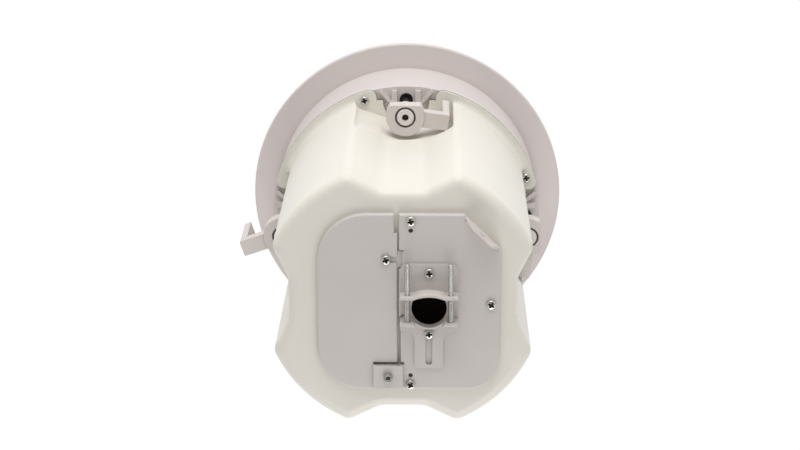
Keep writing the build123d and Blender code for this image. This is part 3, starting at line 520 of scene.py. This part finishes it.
def front_grille():
    """The perforated grille: a sheet of fine round holes inside a turned-in skirt."""
    low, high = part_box("front_grille")
    rim, back, face = high.x / MM, high.z / MM, low.z / MM
    limit = rim - GRILLE_SHEET / 2
    built = bmesh.new()
    for x, y in hex_cells(limit):
        away = hypot(x, y)
        if away <= limit + GRILLE_PITCH / 2:
            pierced = away + GRILLE_PITCH < rim - GRILLE_MARGIN
            add_cell(built, x, y, limit, (face, face + GRILLE_SHEET), pierced)
    bmesh.ops.remove_doubles(built, verts=built.verts, dist=GRILLE_WELD * MM)
    inside = rim - GRILLE_SHEET
    profile = [(rim - SKIRT_EDGE_IN, face), (rim, face + SKIRT_EDGE_UP), (rim, back), (inside, back)]
    profile += [(inside, face + GRILLE_SHEET), (inside, face)]
    add_ring(built, profile)
    add_piece("fine_grille", built, "grille_paint", CHASSIS, "front_grille")


def soft_pad():
    """The fibre pad across the can, rounded and lumpy, inside the space that it fills."""
    low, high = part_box("damping_pad")
    radius = high.x / MM
    half = (high.z - low.z) / 2 / MM
    middle = Vector((0, 0, (low.z + high.z) / 2 / MM))
    rows = []
    for ring in range(1, 2 * PAD_RINGS):
        share = ring / PAD_RINGS
        even = min(1.0, PAD_EVEN * sin(share * pi / 2))
        reach = radius * min(share, 2.0 - share)
        edge = max(0.0, reach - (radius - PAD_ROUND)) / PAD_ROUND
        rise = half * sqrt(max(0.0, 1.0 - edge**2)) * (1 if ring < PAD_RINGS else -1)
        row = [middle + spot for spot in ring_row(reach, rise)]
        for spot in row:
            lump = PAD_LUMPS * (0.5 + 0.5 * noise.noise(spot / PAD_LUMP_SIZE)) * even
            spot.z -= lump * (1 if rise > 0 else -1)
        rows.append([spot * MM for spot in row])
    built = bmesh.new()
    lift = Vector((0, 0, half - PAD_LUMPS))
    add_turned(built, Matrix.Identity(4), rows, (middle + lift) * MM, (middle - lift) * MM)
    pad = add_piece("soft_pad", built, "pad_fibre", CHASSIS, "damping_pad")


def add_camera():
    """The camera looks down on the can's end, tipped a little towards the top clamp."""
    tilt = radians(CAMERA_TILT)
    yaw = radians(CAMERA_YAW)
    right = Vector((cos(yaw), 0, -sin(yaw)))
    up = Vector((0, sin(tilt), cos(tilt))).cross(right).normalized()
    back = right.cross(up)
    place = back * CAMERA_DEPTH + right * CAMERA_RIGHT + up * CAMERA_UP
    data = bpy.data.cameras.new("camera")
    data.lens = CAMERA_LENS
    data.sensor_width = SENSOR_WIDTH
    data.clip_start = 0.01
    data.clip_end = 100.0
    camera = bpy.data.objects.new("camera", data)
    axes = Matrix((right, up, back)).transposed()
    camera.matrix_world = Matrix.Translation(place * MM) @ axes.to_4x4()
    bpy.context.scene.collection.objects.link(camera)
    bpy.context.scene.camera = camera


def add_area_light(name, place, target, size, power):
    """A soft square lamp aimed at a point."""
    data = bpy.data.lights.new(name, "AREA")
    data.size = size
    data.energy = power
    lamp = bpy.data.objects.new(name, data)
    aim = (Vector(target) - Vector(place)).to_track_quat("-Z", "Y")
    lamp.matrix_world = Matrix.Translation(Vector(place)) @ aim.to_matrix().to_4x4()
    bpy.context.scene.collection.objects.link(lamp)


def seen_by(tree, *kinds):
    """1 for two kinds of ray, such as those straight from the camera, and 0 for others."""
    rays = tree.nodes.new("ShaderNodeLightPath")
    seen = tree.nodes.new("ShaderNodeMath")
    seen.operation = "MAXIMUM"
    for socket, kind in zip(seen.inputs, kinds):
        tree.links.new(rays.outputs[kind], socket)
    return seen.outputs[0]


def mix_into(tree, output, share, unseen, seen):
    """Sends one of two shaders to the output, by the kind of ray."""
    mix = tree.nodes.new("ShaderNodeMixShader")
    out = tree.nodes.new(output)
    tree.links.new(share, mix.inputs["Fac"])
    tree.links.new(unseen.outputs[0], mix.inputs[1])
    tree.links.new(seen.outputs[0], mix.inputs[2])
    tree.links.new(mix.outputs[0], out.inputs["Surface"])


def add_world():
    """Soft light from all round, stronger from the sides than from above, and white to the camera."""
    world = bpy.data.worlds.new("studio")
    bpy.context.scene.world = world
    world.use_nodes = True
    tree = world.node_tree
    tree.nodes.clear()
    where = tree.nodes.new("ShaderNodeTexCoord")
    split = tree.nodes.new("ShaderNodeSeparateXYZ")
    tree.links.new(where.outputs["Generated"], split.inputs["Vector"])
    ambient = tree.nodes.new("ShaderNodeBackground")
    level = stretched(tree, split.outputs["Z"], HORIZON_LIGHT, ZENITH_LIGHT)
    tree.links.new(level, ambient.inputs["Strength"])
    white = tree.nodes.new("ShaderNodeBackground")
    white.inputs["Strength"].default_value = 1.0
    seen = seen_by(tree, "Is Camera Ray", "Is Transmission Ray")
    mix_into(tree, "ShaderNodeOutputWorld", seen, ambient, white)


def matt_white(tree, share):
    """A matt shader in a share of white."""
    matt = tree.nodes.new("ShaderNodeBsdfDiffuse")
    matt.inputs["Color"].default_value = (share, share, share, 1)
    return matt


def floor_material():
    """White to the camera but for the object's shadow, and matt to other rays."""
    material = bpy.data.materials.new("floor_white")
    material.use_nodes = True
    tree = material.node_tree
    tree.nodes.clear()
    glow = tree.nodes.new("ShaderNodeEmission")
    glow.inputs["Strength"].default_value = FLOOR_GLOW
    both = tree.nodes.new("ShaderNodeAddShader")
    tree.links.new(glow.outputs[0], both.inputs[0])
    tree.links.new(matt_white(tree, FLOOR_SHADED).outputs[0], both.inputs[1])
    seen = seen_by(tree, "Is Camera Ray", "Is Glossy Ray")
    mix_into(tree, "ShaderNodeOutputMaterial", seen, matt_white(tree, FLOOR_BOUNCE), both)
    return material


def add_floor():
    """A pale floor under the bezel."""
    level = cad_low.z
    ways = ((-1, -1), (1, -1), (1, 1), (-1, 1))
    corners = [(FLOOR_REACH * across, FLOOR_REACH * along, level) for across, along in ways]
    mesh = bpy.data.meshes.new("floor")
    mesh.from_pydata(corners, [], [(0, 1, 2, 3)])
    floor = bpy.data.objects.new("floor", mesh)
    bpy.context.scene.collection.objects.link(floor)
    mesh.materials.append(floor_material())


dress_nodes()
for screws in FLAT_SCREWS:
    flat_screws(screws)
jaw_rods()
clamp_screws()
front_grille()
soft_pad()
add_camera()
add_world()
add_floor()
add_area_light("key", KEY_PLACE, KEY_TARGET, KEY_SIZE, KEY_POWER)
add_area_light("low_fill", FILL_PLACE, FILL_TARGET, FILL_SIZE, FILL_POWER)

scene = bpy.context.scene
scene.view_settings.view_transform = "Standard"
